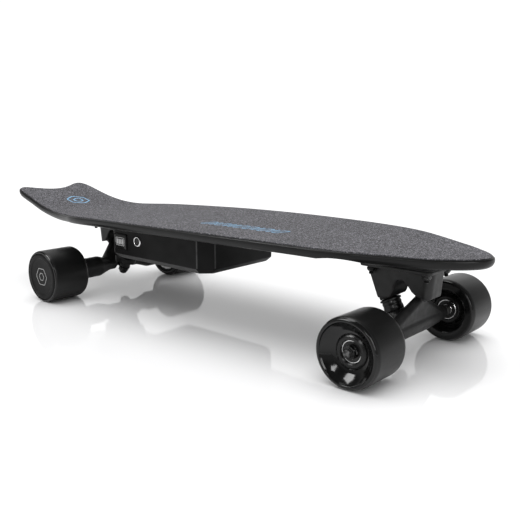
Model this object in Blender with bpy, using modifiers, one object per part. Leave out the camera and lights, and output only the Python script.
"""Electric skateboard: a cambered deck on two steerable trucks, with a belly enclosure,
free-rolling front wheels and hub-motor rear wheels.

Frame: metres, +X towards the nose, +Y to the left, +Z up, z = 0 on the ground.
The driving sizes below are in millimetres; MM turns them into metres.
"""

from math import cos, pi, radians, sin

import bmesh
import bpy
from mathutils import Matrix, Vector

MM = 0.001
GAP = 0.3  # clearance between pieces that touch
WHEEL_STEPS, STEPS, SMALL_STEPS = 32, 16, 8  # facets round a turned piece

# Deck
DECK_THICKNESS = 11.5  # grip tape included
GRIP_THICKNESS = 0.8
GRIP_INSET = 2.6
EDGE_RADIUS = 4.8
CREST_X, CREST_Z = 170.0, 121.5
REAR_CAMBER, FRONT_CAMBER = 8100.0, 3000.0  # radii either side of the crest
NOSE_FLAT_X, NOSE_RADIUS = 312.0, 860.0
KICK_X, KICK_RADIUS, KICK_SLOPE = -223.5, 285.0, 0.274
WELL_X, WELL_Y, WELL_R = 257.0, 77.0, 140.0  # hollows over the front wheels
WELL_DEPTH, WELL_TILT = 2.9, radians(9)
# Right-hand half of the outline, from the nose tip round the tail tip to the notch
HALF_OUTLINE = [
    (373.5, 0), (370.75, 11.5), (361.25, 24), (347.25, 36), (331.25, 47.2), (304.25, 61.2),
    (283.25, 71.5), (264.25, 80.2), (244.25, 86), (220.25, 90.2), (170.25, 95.2), (135.25, 97.6),
    (80.25, 100.8), (10.25, 102), (-39.75, 101), (-69.75, 99.4), (-109.75, 96.8),
    (-159.75, 93.2), (-177.75, 91.2), (-193.75, 88), (-211.75, 82.5), (-239.75, 75.8),
    (-269.75, 71), (-299.75, 67.8), (-326.75, 65.4), (-347.75, 64.2), (-361.75, 62.2),
    (-370.75, 57.2), (-373.5, 50), (-371.75, 41), (-365.25, 28), (-359.25, 14), (-357.25, 0),
]

# Trucks: u is measured outwards from a truck's origin, along +X at the front and -X at the rear
TRUCK_X = {"front": 292.0, "rear": -200.0}
FACING = {"front": 1, "rear": -1}
AXLE_U = {"front": 0.0, "rear": -8.0}
AXLE_Z = 35.0
AXLE_R = 3.95
BASE_TOP_Z, FLANGE_THICKNESS = {"front": 99.8, "rear": 97.0}, 4.0
FLANGE_U, FLANGE_HALF_WIDTH = (-50.0, 32.0), 27.5
BODY_HALF_WIDTH, BODY_CORNER_R = 16.0, 8.0
BASE_INNER = [
    (-47.8, 96.5), (-33, 61), (-17.5, 64.3), (-15.5, 69), (-14.3, 77), (-11, 83), (-5, 84.5),
]
BASE_OUTER = {
    "front": [(1, 80), (6, 73.5), (12.5, 69.5), (25.5, 67.3), (28.2, 96.5)],
    "rear": [(1, 80), (5, 72), (11, 66), (24, 62.8), (28.2, 96.5)],
}
BOLT_PITCH_X, BOLT_PITCH_Y, BOLT_CENTRE_U = 63.5, 41.28, -7.0
BOLT_R, BOLT_END, BOLT_DEPTH = 2.4, 3.6, 6.0
NUT_CORNER_R, NUT_H = 4.6, 4.8
RING_U, RING_Z, RING_R, RING_HALF = -19.2, 43.0, 14.5, 4.0
KINGPIN_LEAN = radians(26)
KINGPIN_R = 4.76
TURN_TILT = radians(40)  # steering axis above the horizontal
BALL_S, BALL_R = 44.0, 4.5  # pivot ball, measured from the ring centre along the steering axis
CUP_S, CUP_R = (38.5, 50.0), 7.3
SCOOP_REACH = 8.75  # how far the hanger is cut away round the kingpin

# Wheels
WHEEL_R = 35.0
FRONT_OUTER_Y, FRONT_WIDTH = 122.8, 52.0
REAR_OUTER_Y, REAR_WIDTH = 135.7, 52.7
CORE_R, BEARING_R, BEARING_W = 17.0, 11.0, 7.0
MOTOR_R = 29.0
SHAFT_INNER_Y = 46.0

# Belly enclosure
BOX_FRONT_X, BOX_REAR_X = 56.0, -122.0
BOX_HALF_WIDTH, BOX_BOTTOM_Z, BOX_CHAMFER_Z = 67.5, 61.0, 67.5
BOX_CHAMFER, BOX_WALL = 7.0, 2.5
BOX_FRONT_CORNER, BOX_REAR_CORNER = 15.8, 3.0
CORNER_SHRINK = 0.586  # how much less a cut corner takes for each step inwards
RIM_GAP = 0.8
DISPLAY_X, DISPLAY_Z = -104.25, 84.5
DISPLAY_SIZE = (26.0, 22.0)
BUTTON_X, BUTTON_Z = -69.75, 88.5
SOCKET_X, SOCKET_Z = -98.0, 86.0
GLAND_Y, GLAND_Z = 30.0, 79.0

MATERIALS = {  # colour, roughness, metallic
    "deck_lacquer": ((0.012, 0.012, 0.013), 0.35, 0.0),
    "grip": ((0.085, 0.084, 0.09), 0.9, 0.0),
    "riser_rubber": ((0.02, 0.02, 0.02), 0.75, 0.0),
    "truck_black": ((0.016, 0.016, 0.017), 0.45, 0.3),
    "bushing": ((0.03, 0.03, 0.032), 0.5, 0.0),
    "steel": ((0.42, 0.42, 0.43), 0.3, 1.0),
    "black_steel": ((0.03, 0.03, 0.03), 0.4, 0.8),
    "urethane": ((0.01, 0.01, 0.011), 0.25, 0.0),
    "core_plastic": ((0.012, 0.012, 0.013), 0.3, 0.0),
    "motor_cover": ((0.03, 0.03, 0.032), 0.5, 0.0),
    "enclosure_plastic": ((0.022, 0.022, 0.024), 0.45, 0.0),
    "battery_wrap": ((0.02, 0.06, 0.25), 0.4, 0.0),
    "circuit": ((0.02, 0.1, 0.05), 0.5, 0.0),
    "chrome": ((0.8, 0.8, 0.82), 0.12, 1.0),
    "display_glass": ((0.05, 0.05, 0.055), 0.15, 0.0),
}


# ---------------------------------------------------------------- scene helpers


def clear_scene():
    for obj in list(bpy.data.objects):
        bpy.data.objects.remove(obj, do_unlink=True)


def new_collection(name):
    collection = bpy.data.collections.new(name)
    bpy.context.scene.collection.children.link(collection)
    return collection


def own_material(node, kind):
    colour, roughness, metallic = MATERIALS[kind]
    made = bpy.data.materials.new(f"{node}_{kind}")
    made.use_nodes = True
    shader = made.node_tree.nodes["Principled BSDF"]
    shader.inputs["Base Color"].default_value = (*colour, 1.0)
    shader.inputs["Roughness"].default_value = roughness
    shader.inputs["Metallic"].default_value = metallic
    return made


def add(name, mesh, kind=None, parent=None, matrix=None):
    """A node when it has a material kind, and a hidden cutter or joining shape when it has none."""
    obj = bpy.data.objects.new(name, mesh)
    if kind:
        parts.objects.link(obj)
        mesh.materials.append(own_material(name, kind))
    else:
        cutters.objects.link(obj)
        obj.hide_render = True
        obj.display_type = "WIRE"
    obj.parent = parent
    if matrix is not None:
        obj.matrix_local = matrix
    return obj


def empty(name, location, parent=None, turn_z=0.0):
    obj = bpy.data.objects.new(name, None)
    parts.objects.link(obj)
    obj.parent = parent
    obj.location = Vector(location) * MM
    obj.rotation_euler = (0, 0, turn_z)
    return obj


def boolean(obj, operation, other):
    modifier = obj.modifiers.new(f"{operation.lower()}_{other.name}", "BOOLEAN")
    modifier.operation = operation
    modifier.object = other
    modifier.solver = "EXACT"


def finish_mesh(bm, name, smooth_angle=None):
    for vert in bm.verts:
        vert.co *= MM
    mesh = bpy.data.meshes.new(name)
    bm.to_mesh(mesh)
    bm.free()
    if smooth_angle:
        mesh.shade_smooth()
        mesh.set_sharp_from_angle(angle=radians(smooth_angle))
    return mesh


# ---------------------------------------------------------------- shape helpers, in millimetres


def along(direction, origin=(0, 0, 0)):
    """A matrix that puts local +Z along direction, at origin."""
    turn = Vector(direction).to_track_quat("Z", "Y").to_matrix().to_4x4()
    return Matrix.Translation(Vector(origin) * MM) @ turn


def turned(name, profile, kind=None, parent=None, matrix=None, steps=STEPS, closed=True):
    """A turned shape about local Z. The profile's (radius, height) points run down its outer side."""
    mesh = bpy.data.meshes.new(name)
    points = [(r * MM, 0.0, h * MM) for r, h in profile]
    edges = [(i, i + 1) for i in range(len(points) - 1)]
    if closed:
        edges.append((len(points) - 1, 0))
    mesh.from_pydata(points, edges, [])
    obj = add(name, mesh, kind, parent, matrix)
    screw = obj.modifiers.new("screw", "SCREW")
    screw.steps = screw.render_steps = steps
    screw.use_merge_vertices = True
    screw.merge_threshold = 0.00001
    screw.use_smooth_shade = True
    return obj


def rod(name, radius, low, high, kind=None, parent=None, matrix=None, steps=STEPS):
    """A solid cylinder about local Z between two heights."""
    profile = [(0, high), (radius, high), (radius, low), (0, low)]
    return turned(name, profile, kind, parent, matrix, steps, closed=False)


def tube(name, inner, outer, low, high, kind=None, parent=None, matrix=None, steps=STEPS):
    profile = [(outer, high), (outer, low), (inner, low), (inner, high)]
    return turned(name, profile, kind, parent, matrix, steps)


def hex_nut(name, bore, corner_r, low, high, parent, matrix):
    nut = rod(name, corner_r, low, high, "black_steel", parent, matrix, steps=6)
    boolean(nut, "DIFFERENCE", rod(f"{name}_bore", bore, low - 2, high + 2, None, parent, matrix))


def extruded(name, outline, low, high, axis="Z"):
    """A prism on a closed outline, given anticlockwise seen from the high end of its axis."""
    bm = bmesh.new()
    place = {"Z": lambda a, b: (a, b, low), "Y": lambda a, b: (a, low, b)}[axis]
    face = bm.faces.new([bm.verts.new(place(a, b)) for a, b in outline])
    extrusion = bmesh.ops.extrude_face_region(bm, geom=[face])
    moved = [v for v in extrusion["geom"] if isinstance(v, bmesh.types.BMVert)]
    offset = (0, 0, high - low) if axis == "Z" else (0, high - low, 0)
    bmesh.ops.translate(bm, vec=offset, verts=moved)
    bmesh.ops.recalc_face_normals(bm, faces=bm.faces)
    return bm


def hull(points):
    """The convex hull of some points."""
    bm = bmesh.new()
    for point in points:
        bm.verts.new(point)
    result = bmesh.ops.convex_hull(bm, input=bm.verts)
    loose = [g for g in result["geom_interior"] if isinstance(g, bmesh.types.BMVert)]
    bmesh.ops.delete(bm, geom=loose, context="VERTS")
    bmesh.ops.dissolve_limit(bm, angle_limit=radians(0.5), verts=bm.verts, edges=bm.edges)
    bmesh.ops.recalc_face_normals(bm, faces=bm.faces)
    return bm


def rounded_box(size, centre, radius, segments=2):
    bm = bmesh.new()
    bmesh.ops.create_cube(bm, size=1.0)
    bmesh.ops.scale(bm, vec=size, verts=bm.verts)
    bmesh.ops.translate(bm, vec=centre, verts=bm.verts)
    edges = list(bm.edges)
    bmesh.ops.bevel(bm, geom=edges, offset=radius, segments=segments, profile=0.5, affect="EDGES")
    return bm


def plate_outline(u_low, u_high, half_width, radius, steps=4):
    """A rectangle with round corners, anticlockwise."""
    points = []
    for centre_u, centre_y, start in (
        (u_high - radius, half_width - radius, 0),
        (u_low + radius, half_width - radius, pi / 2),
        (u_low + radius, radius - half_width, pi),
        (u_high - radius, radius - half_width, 3 * pi / 2),
    ):
        for step in range(steps + 1):
            angle = start + step * pi / 2 / steps
            points.append((centre_u + radius * cos(angle), centre_y + radius * sin(angle)))
    return points


def circle(centre, radius, normal, steps=12):
    """Points round a circle, for a hull."""
    turn = Vector(normal).to_track_quat("Z", "Y")
    angles = [2 * pi * step / steps for step in range(steps)]
    return [Vector(centre) + turn @ Vector((radius * cos(a), radius * sin(a), 0)) for a in angles]


# ---------------------------------------------------------------- deck


def deck_z(x):
    """Height of the grip tape's surface: a long camber, a kicked tail and a levelling nose."""
    camber = CREST_Z - (x - CREST_X) ** 2 / (2 * (FRONT_CAMBER if x > CREST_X else REAR_CAMBER))
    if x > NOSE_FLAT_X:
        return camber + (x - NOSE_FLAT_X) ** 2 / 2 * (1 / FRONT_CAMBER + 1 / NOSE_RADIUS)
    if x >= KICK_X:
        return camber
    fall = (CREST_X - KICK_X) / REAR_CAMBER
    start = CREST_Z - (KICK_X - CREST_X) ** 2 / (2 * REAR_CAMBER)
    run = KICK_X - x
    bend = (KICK_SLOPE + fall) * KICK_RADIUS
    curved = min(run, bend)
    return start - fall * curved + curved**2 / (2 * KICK_RADIUS) + KICK_SLOPE * (run - curved)


def underside_z(x):
    return deck_z(x) - DECK_THICKNESS


def smooth_through(points, per_span):
    """A Catmull-Rom curve through a half outline whose ends lie on the centre line."""
    mirrored = [(points[1][0], -points[1][1]), *points, (points[-2][0], -points[-2][1])]
    knots = [Vector(point) for point in mirrored]
    curve = []
    for a, b, c, d in zip(knots, knots[1:], knots[2:], knots[3:]):
        for step in range(per_span):
            t = step / per_span
            square = (2 * a - 5 * b + 4 * c - d) * t**2
            cube = (3 * b - a - 3 * c + d) * t**3
            curve.append(0.5 * (2 * b + (c - a) * t + square + cube))
    curve.append(knots[-2])
    return curve


def deck_outline(inset, per_span=2):
    """The closed deck outline, anticlockwise, moved inwards by inset."""
    half = smooth_through(HALF_OUTLINE, per_span)
    loop = half + [Vector((p.x, -p.y)) for p in reversed(half[1:-1])]
    inner = []
    for i, point in enumerate(loop):
        chord = (loop[(i + 1) % len(loop)] - loop[i - 1]).normalized()
        inner.append(point + inset * Vector((-chord.y, chord.x)))
    return inner


def bend_stations():
    """The places along the deck where it needs an edge across it, so that it can bend."""
    kick_end = KICK_X - (KICK_SLOPE + (CREST_X - KICK_X) / REAR_CAMBER) * KICK_RADIUS
    stations = [kick_end + step * (KICK_X - kick_end) / 6 for step in range(7)]
    stations += [KICK_X + step * (NOSE_FLAT_X - KICK_X) / 11 for step in range(1, 12)]
    return stations + [NOSE_FLAT_X + 20, NOSE_FLAT_X + 40]


def bent_slab(inset, low, high, edge_radius):
    """The outline as a slab from low to high below the deck's surface, bent to the deck's curve."""
    bm = extruded("slab", [tuple(p) for p in deck_outline(inset)], low, high)
    if edge_radius:
        rims = [e for e in bm.edges if abs(e.verts[0].co.z - e.verts[1].co.z) < 0.001]
        bmesh.ops.bevel(bm, geom=rims, offset=edge_radius, segments=1, profile=0.5, affect="EDGES")
    for x in bend_stations():
        everything = bm.verts[:] + bm.edges[:] + bm.faces[:]
        bmesh.ops.bisect_plane(bm, geom=everything, plane_co=(x, 0, 0), plane_no=(1, 0, 0), dist=0.01)
    for vert in bm.verts:
        vert.co.z += deck_z(vert.co.x)
    return bm


def cut_wheel_wells(deck):
    """Shallow hollows in the deck's underside, deeper towards the rail, that clear the front wheels."""
    for side in (-1, 1):
        outward = Vector((0, side * cos(WELL_TILT), sin(WELL_TILT)))
        upward = Vector((0, -side * sin(WELL_TILT), cos(WELL_TILT)))
        deepest = Vector((WELL_X, side * WELL_Y, underside_z(WELL_X) + WELL_DEPTH))
        place = along(outward, deepest - WELL_R * upward)
        cutter = rod(f"wheel_well_{side}", WELL_R, -40, 40, None, None, place, 96)
        boolean(deck, "DIFFERENCE", cutter)


def build_deck():
    top = -GRIP_THICKNESS - GAP
    body = bent_slab(0, -DECK_THICKNESS, top, EDGE_RADIUS)
    deck = add("deck", finish_mesh(body, "deck", 40), "deck_lacquer")
    cut_wheel_wells(deck)
    tape = bent_slab(GRIP_INSET, -GRIP_THICKNESS, 0, 0)
    add("grip_tape", finish_mesh(tape, "grip_tape", 40), "grip")
    for end in TRUCK_X:
        for index, (x, y) in enumerate(bolt_places(end)):
            low, high = underside_z(x) - 3, underside_z(x) + BOLT_DEPTH + 1
            hole = rod(f"{end}_insert_hole_{index}", BOLT_R + 0.5, low, high, steps=SMALL_STEPS)
            hole.location = Vector((x, y, 0)) * MM
            boolean(deck, "DIFFERENCE", hole)


# ---------------------------------------------------------------- truck mountings


def bolt_places(end):
    """World x, y of a truck's four bolts."""
    centre = TRUCK_X[end] + FACING[end] * BOLT_CENTRE_U
    return [
        (centre + a * BOLT_PITCH_X / 2, b * BOLT_PITCH_Y / 2) for a in (-1, 1) for b in (-1, 1)
    ]


def build_riser(end):
    """A wedge that is level below and follows the deck above."""
    ends = sorted(TRUCK_X[end] + FACING[end] * u for u in FLANGE_U)
    outline = plate_outline(*ends, FLANGE_HALF_WIDTH, 4.5)
    low = BASE_TOP_Z[end] + GAP
    bm = extruded("riser", outline, low, low + 1)
    for step in range(1, 6):
        x = ends[0] + step * (ends[1] - ends[0]) / 6
        everything = bm.verts[:] + bm.edges[:] + bm.faces[:]
        bmesh.ops.bisect_plane(bm, geom=everything, plane_co=(x, 0, 0), plane_no=(1, 0, 0), dist=0.01)
    for vert in bm.verts:
        if vert.co.z > low + 0.5:
            vert.co.z = underside_z(vert.co.x) - GAP
    riser = add(f"{end}_riser", finish_mesh(bm, "riser"), "riser_rubber")
    cut_bolt_holes(riser, end)


def cut_bolt_holes(obj, end):
    for index, (x, y) in enumerate(bolt_places(end)):
        hole = rod(f"{obj.name}_hole_{index}", BOLT_R + 0.4, 80, 116, steps=SMALL_STEPS)
        hole.location = Vector((x, y, 0)) * MM
        boolean(obj, "DIFFERENCE", hole)


def build_bolts(end):
    """Threaded studs from the deck's inserts down through riser and flange, each with its nut."""
    seat = BASE_TOP_Z[end] - FLANGE_THICKNESS - GAP
    for index, (x, y) in enumerate(bolt_places(end), 1):
        name, low = f"{end}_deck_bolt_{index}", seat - NUT_H
        stud = rod(name, BOLT_R, low - BOLT_END, underside_z(x) + BOLT_DEPTH, "black_steel", steps=SMALL_STEPS)
        nut = rod(f"{name}_nut", NUT_CORNER_R, low, seat, steps=6)
        stud.location = nut.location = Vector((x, y, 0)) * MM
        boolean(stud, "UNION", nut)


# ---------------------------------------------------------------- trucks


def kingpin_matrix():
    """Local +Z runs down the kingpin from the ring's centre."""
    return along((sin(KINGPIN_LEAN), 0, -cos(KINGPIN_LEAN)), (RING_U, 0, RING_Z))


def turn_matrix():
    """Local +Z runs up the steering axis from the ring's centre."""
    return along((cos(TURN_TILT), 0, sin(TURN_TILT)), (RING_U, 0, RING_Z))


def cross_axis(end, sign=1):
    """Local +Z along the axle, towards one side."""
    return along((0, sign, 0), (AXLE_U[end], 0, AXLE_Z))


def corner_limit(end):
    """A block that rounds off the two outer upright edges of the baseplate's body."""
    (low_u, low_z), (high_u, high_z) = BASE_OUTER[end][-2:]
    points = []
    for z in (50, 100):
        face = low_u + (high_u - low_u) * (z - low_z) / (high_z - low_z) + 0.02
        for side in (-1, 1):
            points.append(Vector((-60, side * 22, z)))
            for step in range(4):
                angle = step * pi / 6
                u = face - BODY_CORNER_R * (1 - sin(angle))
                points.append(Vector((u, side * (BODY_HALF_WIDTH - BODY_CORNER_R * (1 - cos(angle))), z)))
    return hull(points)


def build_baseplate(end, truck):
    top = BASE_TOP_Z[end]
    flange = extruded(
        "flange", plate_outline(*FLANGE_U, FLANGE_HALF_WIDTH, 4.5), top - FLANGE_THICKNESS, top
    )
    base = add(f"{end}_baseplate", finish_mesh(flange, "flange", 30), "truck_black", truck)
    profile = BASE_INNER + BASE_OUTER[end]
    body = extruded("body", profile, -BODY_HALF_WIDTH, BODY_HALF_WIDTH, "Y")
    upright = [e for e in body.edges if abs(e.verts[0].co.y - e.verts[1].co.y) < 0.001]
    bmesh.ops.bevel(body, geom=upright, offset=1.2, segments=1, profile=0.5, affect="EDGES")
    upright_body = add(f"{end}_base_body", finish_mesh(body, "body"), None, truck)
    limit = add(f"{end}_base_limit", finish_mesh(corner_limit(end), "limit"), None, truck)
    boolean(upright_body, "INTERSECT", limit)
    boolean(base, "UNION", upright_body)
    pin = kingpin_matrix()
    boss = [(0, -18.6), (10.8, -18.6), (10.8, -24), (8, -30), (8, -45), (0, -45)]
    boolean(base, "UNION", turned(f"{end}_boss", boss, None, truck, pin, closed=False))
    kingpin_bore = rod(f"{end}_kingpin_bore", KINGPIN_R + 0.35, -36, -10, None, truck, pin)
    boolean(base, "DIFFERENCE", kingpin_bore)
    socket = rod(f"{end}_pivot_socket", CUP_R + GAP, 34, CUP_S[1] + GAP, None, truck, turn_matrix())
    boolean(base, "DIFFERENCE", socket)
    for index, (x, y) in enumerate(bolt_places(end)):
        hole = rod(f"{end}_base_hole_{index}", BOLT_R + 0.4, 80, 116, steps=SMALL_STEPS)
        hole.location = Vector((x, y, 0)) * MM
        boolean(base, "DIFFERENCE", hole)


def build_pivot_cup(end, truck):
    """A urethane thimble that holds the hanger's ball."""
    inner = BALL_R + 0.35
    low, high = CUP_S
    profile = [(0, high), (CUP_R, high), (CUP_R, low), (inner, low), (inner, high - 1.2), (0, high - 1.2)]
    turned(f"{end}_pivot_cup", profile, "bushing", truck, turn_matrix(), closed=False)


def build_kingpin_stack(end, truck):
    """Stud, nut, cup washers and bushings, at heights measured down the kingpin."""
    pin = kingpin_matrix()
    bore = KINGPIN_R + 0.4
    rod(f"{end}_kingpin", KINGPIN_R, -35, 27, "black_steel", truck, pin)
    tube(f"{end}_upper_washer", bore, 11.5, -18.3, -16.3, "black_steel", truck, pin)
    tube(f"{end}_lower_washer", bore, 8.3, 14.6, 16.6, "black_steel", truck, pin)
    upper = [(10.6, -4.3), (10.6, -8), (9.6, -16), (bore, -16), (bore, -4.3)]
    lower = [(7.6, 14.3), (8.3, 8), (8.3, 4.3), (bore, 4.3), (bore, 14.3)]
    turned(f"{end}_upper_bushing", upper, "bushing", truck, pin)
    turned(f"{end}_lower_bushing", lower, "bushing", truck, pin)
    hex_nut(f"{end}_kingpin_nut", bore, 7.6, 16.9, 24.9, truck, pin)


def build_hanger(end, steer):
    """Axle housing with a triangular web, a neck to the pivot ball and a ring for the kingpin."""
    half = {
        "front": [(8.0, 66), (8.0, 60), (9.4, 46), (10.6, 24)],
        "rear": [(14.3, 82), (14.3, 44), (11.0, 34), (8.4, 25)],
    }[end]
    web_y, web_r, neck_r = {"front": (57, 6.6, 5.0), "rear": (33, 9.0, 8.0)}[end]
    half_width = half[0][1]
    mirrored = [(r, -h) for r, h in reversed(half)]
    profile = [(0, half_width), *half, *mirrored, (0, -half_width)]
    back = Matrix.Translation(-Vector((RING_U, 0, RING_Z)) * MM)
    cross, pin = back @ cross_axis(end), back @ kingpin_matrix()
    hanger = turned(f"{end}_hanger", profile, "truck_black", steer, cross, closed=False)

    def joined(suffix, bm):
        boolean(hanger, "UNION", add(f"{end}_{suffix}", finish_mesh(bm, suffix), None, steer, back))

    def cut(suffix, radius, low, high, matrix):
        boolean(hanger, "DIFFERENCE", rod(f"{end}_{suffix}", radius, low, high, None, steer, matrix))

    rise = (cos(TURN_TILT), 0, sin(TURN_TILT))
    top = Vector((RING_U, 0, RING_Z)) + 36.5 * Vector(rise)
    web = circle(top, neck_r, rise)
    for side in (-1, 1):
        web += circle((AXLE_U[end] + 1, side * web_y, AXLE_Z + 0.5), web_r, (0, 1, 0))
    joined("web", hull(web))

    down = (sin(KINGPIN_LEAN), 0, -cos(KINGPIN_LEAN))
    arm = []
    for level in (-RING_HALF, RING_HALF):
        centre = Vector((RING_U, 0, RING_Z)) + level * Vector(down)
        arm += circle(centre, RING_R, down, 20)
    for side in (-1, 1):
        arm += circle((AXLE_U[end] + 1, side * 17, AXLE_Z), 7.6, (0, 1, 0))
    joined("arm", hull(arm))

    neck = [(0, BALL_S + BALL_R)]
    neck += [(BALL_R * sin(a), BALL_S + BALL_R * cos(a)) for a in (pi / 6, pi / 3, pi / 2, 2 * pi / 3)]
    neck += [(3.9, 40.6), (4.8, 37.0), (4.8, 32.0), (0, 32.0)]
    boolean(hanger, "UNION", turned(f"{end}_neck", neck, None, steer, back @ turn_matrix(), closed=False))

    scoop_width = 22.0
    scoop_size = (scoop_width, 31, 30)
    scoop_centre = (SCOOP_REACH - scoop_width / 2, 0, RING_HALF - 0.1 + 15)
    scoop = finish_mesh(rounded_box(scoop_size, scoop_centre, 0.2, 1), "scoop")
    scoop_cutter = add(f"{end}_scoop", scoop, None, steer, back @ kingpin_box_matrix())
    boolean(hanger, "DIFFERENCE", scoop_cutter)
    cut("upper_seat", 12.2, -30, -RING_HALF, pin)
    cut("ring_hole", 7.6, -30, 30, pin)
    if end == "front":
        cut("axle_bore", AXLE_R + 0.35, -100, 100, cross)
    else:
        cut("left_shaft_bore", AXLE_R + 0.35, SHAFT_INNER_Y - GAP, 100, cross)
        cut("right_shaft_bore", AXLE_R + 0.35, -100, GAP - SHAFT_INNER_Y, cross)


def kingpin_box_matrix():
    """Local +Z down the kingpin and local +X towards the axle, square to it."""
    down = Vector((sin(KINGPIN_LEAN), 0, -cos(KINGPIN_LEAN)))
    outward = Vector((cos(KINGPIN_LEAN), 0, sin(KINGPIN_LEAN)))
    turn = Matrix((outward, down.cross(outward), down)).transposed().to_4x4()
    return Matrix.Translation(Vector((RING_U, 0, RING_Z)) * MM) @ turn


def build_front_axle(steer):
    """A through axle with a collar inside each wheel."""
    back = Matrix.Translation(-Vector((RING_U, 0, RING_Z)) * MM)
    inner_race = FRONT_OUTER_Y - FRONT_WIDTH + 7.0
    half = [
        (0, 121.4), (AXLE_R, 121.4), (AXLE_R, inner_race - 0.5), (5.6, inner_race - 0.5),
        (5.6, 66.4), (AXLE_R, 66.4),
    ]
    profile = half + [(r, -h) for r, h in reversed(half)]
    turned("front_axle", profile, "steel", steer, back @ cross_axis("front"), closed=False)


# ---------------------------------------------------------------- wheels


def wheel_empty(end, side, steer):
    offset = (AXLE_U[end] - RING_U, 0, AXLE_Z - RING_Z)
    return empty(f"{end}_{side}_wheel_axis", offset, steer)


def build_front_wheel(side, sign, steer):
    """Urethane tyre on a core with two bearings, and the axle nut that holds it."""
    hub = wheel_empty("front", side, steer)
    name = f"front_{side}"
    out = FRONT_OUTER_Y
    inner = FRONT_OUTER_Y - FRONT_WIDTH
    facing = along((0, sign, 0))
    tyre = [
        (30, out - 1.0), (32, out), (WHEEL_R - 1, out - 1), (WHEEL_R, out - 4), (WHEEL_R, inner + 4),
        (WHEEL_R - 1, inner + 1), (32, inner), (30, inner + 1.0), (CORE_R + GAP, inner + 9),
        (CORE_R + GAP, out - 10),
    ]
    turned(f"{name}_tyre", tyre, "urethane", hub, facing, steps=WHEEL_STEPS)
    seat_out, seat_in = out - 11.0, inner + 7.0
    seat_r = BEARING_R + GAP
    core = [
        (14.2, out - 8.6), (CORE_R, out - 10.4), (CORE_R, inner + 9.4), (14.2, inner + 6.6),
        (seat_r, inner + 6.6), (seat_r, seat_in + BEARING_W + GAP), (9.2, seat_in + BEARING_W + GAP),
        (9.2, seat_out - BEARING_W - GAP), (seat_r, seat_out - BEARING_W - GAP), (seat_r, out - 8.6),
    ]
    turned(f"{name}_core", core, "core_plastic", hub, facing)
    bore = AXLE_R + 0.35
    tube(f"{name}_outer_bearing", bore, BEARING_R, seat_out - BEARING_W, seat_out, "chrome", hub, facing)
    tube(f"{name}_inner_bearing", bore, BEARING_R, seat_in, seat_in + BEARING_W, "chrome", hub, facing)
    hex_nut(f"{name}_axle_nut", bore, 7.4, seat_out + 0.4, seat_out + 6.9, hub, facing)


def build_rear_wheel(side, sign, steer):
    """Hub motor: stator and shaft fixed to the hanger, rotor can and cover inside a tyre sleeve."""
    hub = wheel_empty("rear", side, steer)
    name = f"rear_{side}"
    out = REAR_OUTER_Y
    inner = REAR_OUTER_Y - REAR_WIDTH
    facing = along((0, sign, 0))
    bore = AXLE_R + 0.45
    cover_r = 31.4
    sleeve = [
        (cover_r + GAP, out - 0.6), (33.4, out - 0.6), (34.5, out - 1.6), (WHEEL_R, out - 4),
        (WHEEL_R, inner + 4), (34.2, inner + 1.4), (32.5, inner), (MOTOR_R + GAP, inner),
        (MOTOR_R + GAP, out - 3.8), (cover_r + GAP, out - 3.8),
    ]
    turned(f"{name}_tyre_sleeve", sleeve, "urethane", hub, facing, steps=WHEEL_STEPS)
    can = [
        (MOTOR_R, out - 4.1), (MOTOR_R, inner + 1), (26.2, inner + 1), (26.2, out - 8.1),
        (bore, out - 8.1), (bore, out - 4.1),
    ]
    turned(f"{name}_rotor_can", can, "motor_cover", hub, facing)
    cover = [(0, out), (29, out), (cover_r, out - 1.2), (cover_r, out - 3.4), (0, out - 3.4)]
    turned(f"{name}_motor_cover", cover, "motor_cover", hub, facing, steps=WHEEL_STEPS, closed=False)
    stator = [
        (22.5, out - 12), (22.5, inner + 6), (25.6, inner + 5.5), (25.6, inner + 1.6),
        (AXLE_R + 0.35, inner + 1.6), (AXLE_R + 0.35, out - 12),
    ]
    turned(f"{name}_stator", stator, "steel", hub, facing)
    rod(f"{name}_motor_shaft", AXLE_R, SHAFT_INNER_Y, out - 4.9, "steel", hub, facing)


def build_truck(end):
    truck = empty(f"{end}_truck", (TRUCK_X[end], 0, 0), turn_z=0 if FACING[end] > 0 else pi)
    steer = empty(f"{end}_steer_axis", (RING_U, 0, RING_Z), truck)
    build_riser(end)
    build_baseplate(end, truck)
    build_bolts(end)
    build_pivot_cup(end, truck)
    build_kingpin_stack(end, truck)
    build_hanger(end, steer)
    if end == "front":
        build_front_axle(steer)
    for side, world_sign in (("left", 1), ("right", -1)):
        sign = world_sign * FACING[end]
        (build_front_wheel if end == "front" else build_rear_wheel)(side, sign, steer)


# ---------------------------------------------------------------- belly enclosure


def box_outline(inset):
    """Plan of the enclosure with cut corners, anticlockwise, with points along its long sides."""
    front, rear = BOX_FRONT_X - inset, BOX_REAR_X + inset
    half = BOX_HALF_WIDTH - inset
    front_cut = BOX_FRONT_CORNER - inset * CORNER_SHRINK
    rear_cut = BOX_REAR_CORNER - inset * CORNER_SHRINK * BOX_REAR_CORNER / BOX_FRONT_CORNER
    first, last = rear + rear_cut, front - front_cut
    stations = [first + step * (last - first) / 5 for step in range(6)]
    left = [(x, half) for x in reversed(stations)] + [(rear, half - rear_cut)]
    right = [(rear, rear_cut - half)] + [(x, -half) for x in stations]
    return [*left, *right, (front, front_cut - half), (front, half - front_cut)]


def ring_of(bm, outline, height):
    return [bm.verts.new((x, y, height(x))) for x, y in outline]


def join_rings(bm, low, high):
    count = len(low)
    for i in range(count):
        j = (i + 1) % count
        bm.faces.new((low[i], low[j], high[j], high[i]))


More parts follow.
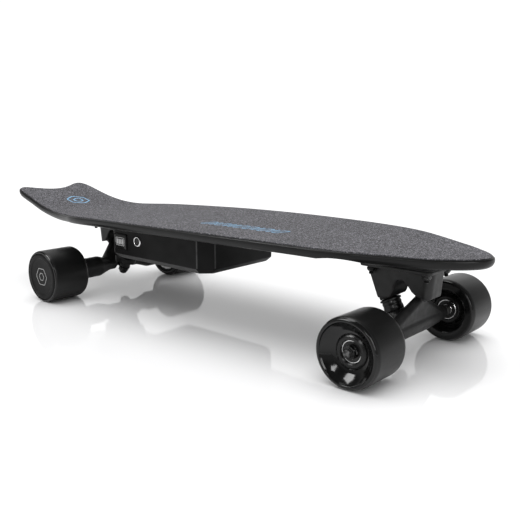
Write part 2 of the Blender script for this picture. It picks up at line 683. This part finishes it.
def build_shell():
    """An open tray, chamfered round its bottom, whose rim follows the deck."""
    bm = bmesh.new()
    floor = ring_of(bm, box_outline(BOX_CHAMFER), lambda x: BOX_BOTTOM_Z)
    bend = ring_of(bm, box_outline(0), lambda x: BOX_CHAMFER_Z)
    rim = ring_of(bm, box_outline(0), lambda x: underside_z(x) - RIM_GAP)
    bm.faces.new(list(reversed(floor)))
    join_rings(bm, floor, bend)
    join_rings(bm, bend, rim)
    shell = add("enclosure_shell", finish_mesh(bm, "enclosure_shell"), "enclosure_plastic")
    solidify = shell.modifiers.new("wall", "SOLIDIFY")
    solidify.thickness = BOX_WALL * MM
    solidify.offset = -1
    solidify.use_even_offset = True
    side = BOX_HALF_WIDTH
    width, height = DISPLAY_SIZE
    window = rounded_box((width - 4.4, 12, height - 4.4), (DISPLAY_X, -side, DISPLAY_Z), 0.2, 1)
    boolean(shell, "DIFFERENCE", add("display_window", finish_mesh(window, "display_window")))
    for name, radius, place, facing in (
        ("button_hole", 6.0, (BUTTON_X, -side, BUTTON_Z), (0, -1, 0)),
        ("socket_hole", 6.9, (SOCKET_X, side, SOCKET_Z), (0, 1, 0)),
        ("gland_hole", 5.4, (BOX_REAR_X, GLAND_Y, GLAND_Z), (-1, 0, 0)),
    ):
        boolean(shell, "DIFFERENCE", rod(name, radius, -6, 6, None, None, along(facing, place)))


def build_contents():
    battery = rounded_box((92, 108, 34), (2, 0, 84), 3.0, 1)
    add("battery_pack", finish_mesh(battery, "battery_pack", 30), "battery_wrap")
    controller = rounded_box((62, 92, 26), (-82, 0, 80), 1.5, 1)
    add("motor_controller", finish_mesh(controller, "motor_controller", 30), "circuit")


def build_display():
    """Battery display: a square face plate with a body through the wall."""
    side = BOX_HALF_WIDTH
    width, height = DISPLAY_SIZE
    plate = rounded_box((width, 1.2, height), (DISPLAY_X, -side - GAP - 0.6, DISPLAY_Z), 0.4, 1)
    display = add("battery_display", finish_mesh(plate, "battery_display", 30), "display_glass")
    body = rounded_box((width - 5, 9.5, height - 5), (DISPLAY_X, -side + 4.0, DISPLAY_Z), 0.5, 1)
    boolean(display, "UNION", add("display_body", finish_mesh(body, "display_body")))


def build_button():
    """A metal bezel ring through the wall, and the push button that slides in it."""
    facing = along((0, -1, 0), (BUTTON_X, -BOX_HALF_WIDTH, BUTTON_Z))
    bezel = [
        (5.4, 1.6), (6.6, 1.2), (6.8, GAP), (5.7, GAP), (5.7, -7), (4.9, -7), (4.9, 1.6),
    ]
    turned("button_bezel", bezel, "chrome", None, facing)
    cap = [(0, 0.5), (3.4, 0.9), (4.2, 0.9), (4.6, 0.4), (4.6, -5), (0, -5)]
    turned("power_button", cap, "core_plastic", None, facing, closed=False)


def build_charge_port():
    """A round socket through the left wall, under a hinged rubber cap."""
    facing = along((0, 1, 0), (SOCKET_X, BOX_HALF_WIDTH, SOCKET_Z))
    socket = [
        (4.1, 1.3), (8.0, 1.3), (8.0, GAP), (6.5, GAP), (6.5, -10.5), (0, -10.5), (0, -8.8), (4.1, -8.8),
    ]
    turned("charge_socket", socket, "core_plastic", None, facing, closed=True)
    hinge = empty("charge_cap_hinge", (SOCKET_X, BOX_HALF_WIDTH + 2.6, SOCKET_Z + 9.0))
    cap = rounded_box((19, 2.0, 19.5), (0, 0, -8.75), 0.8, 2)
    add("charge_port_cap", finish_mesh(cap, "charge_port_cap", 40), "bushing", hinge)


def build_gland():
    """The outlet for the motor leads in the enclosure's rear wall."""
    facing = along((-1, 0, 0), (BOX_REAR_X, GLAND_Y, GLAND_Z))
    gland = [
        (4.4, 9.0), (5.6, 8.0), (6.6, 4.5), (7.4, 4.0), (7.4, GAP), (5.0, GAP), (5.0, -5), (3.4, -5),
        (3.4, 9.0),
    ]
    turned("motor_cable_gland", gland, "riser_rubber", None, facing)


clear_scene()
parts = new_collection("electric_skateboard")
cutters = new_collection("cutters")
build_deck()
for truck_end in TRUCK_X:
    build_truck(truck_end)
build_shell()
build_contents()
build_display()
build_button()
build_charge_port()
build_gland()
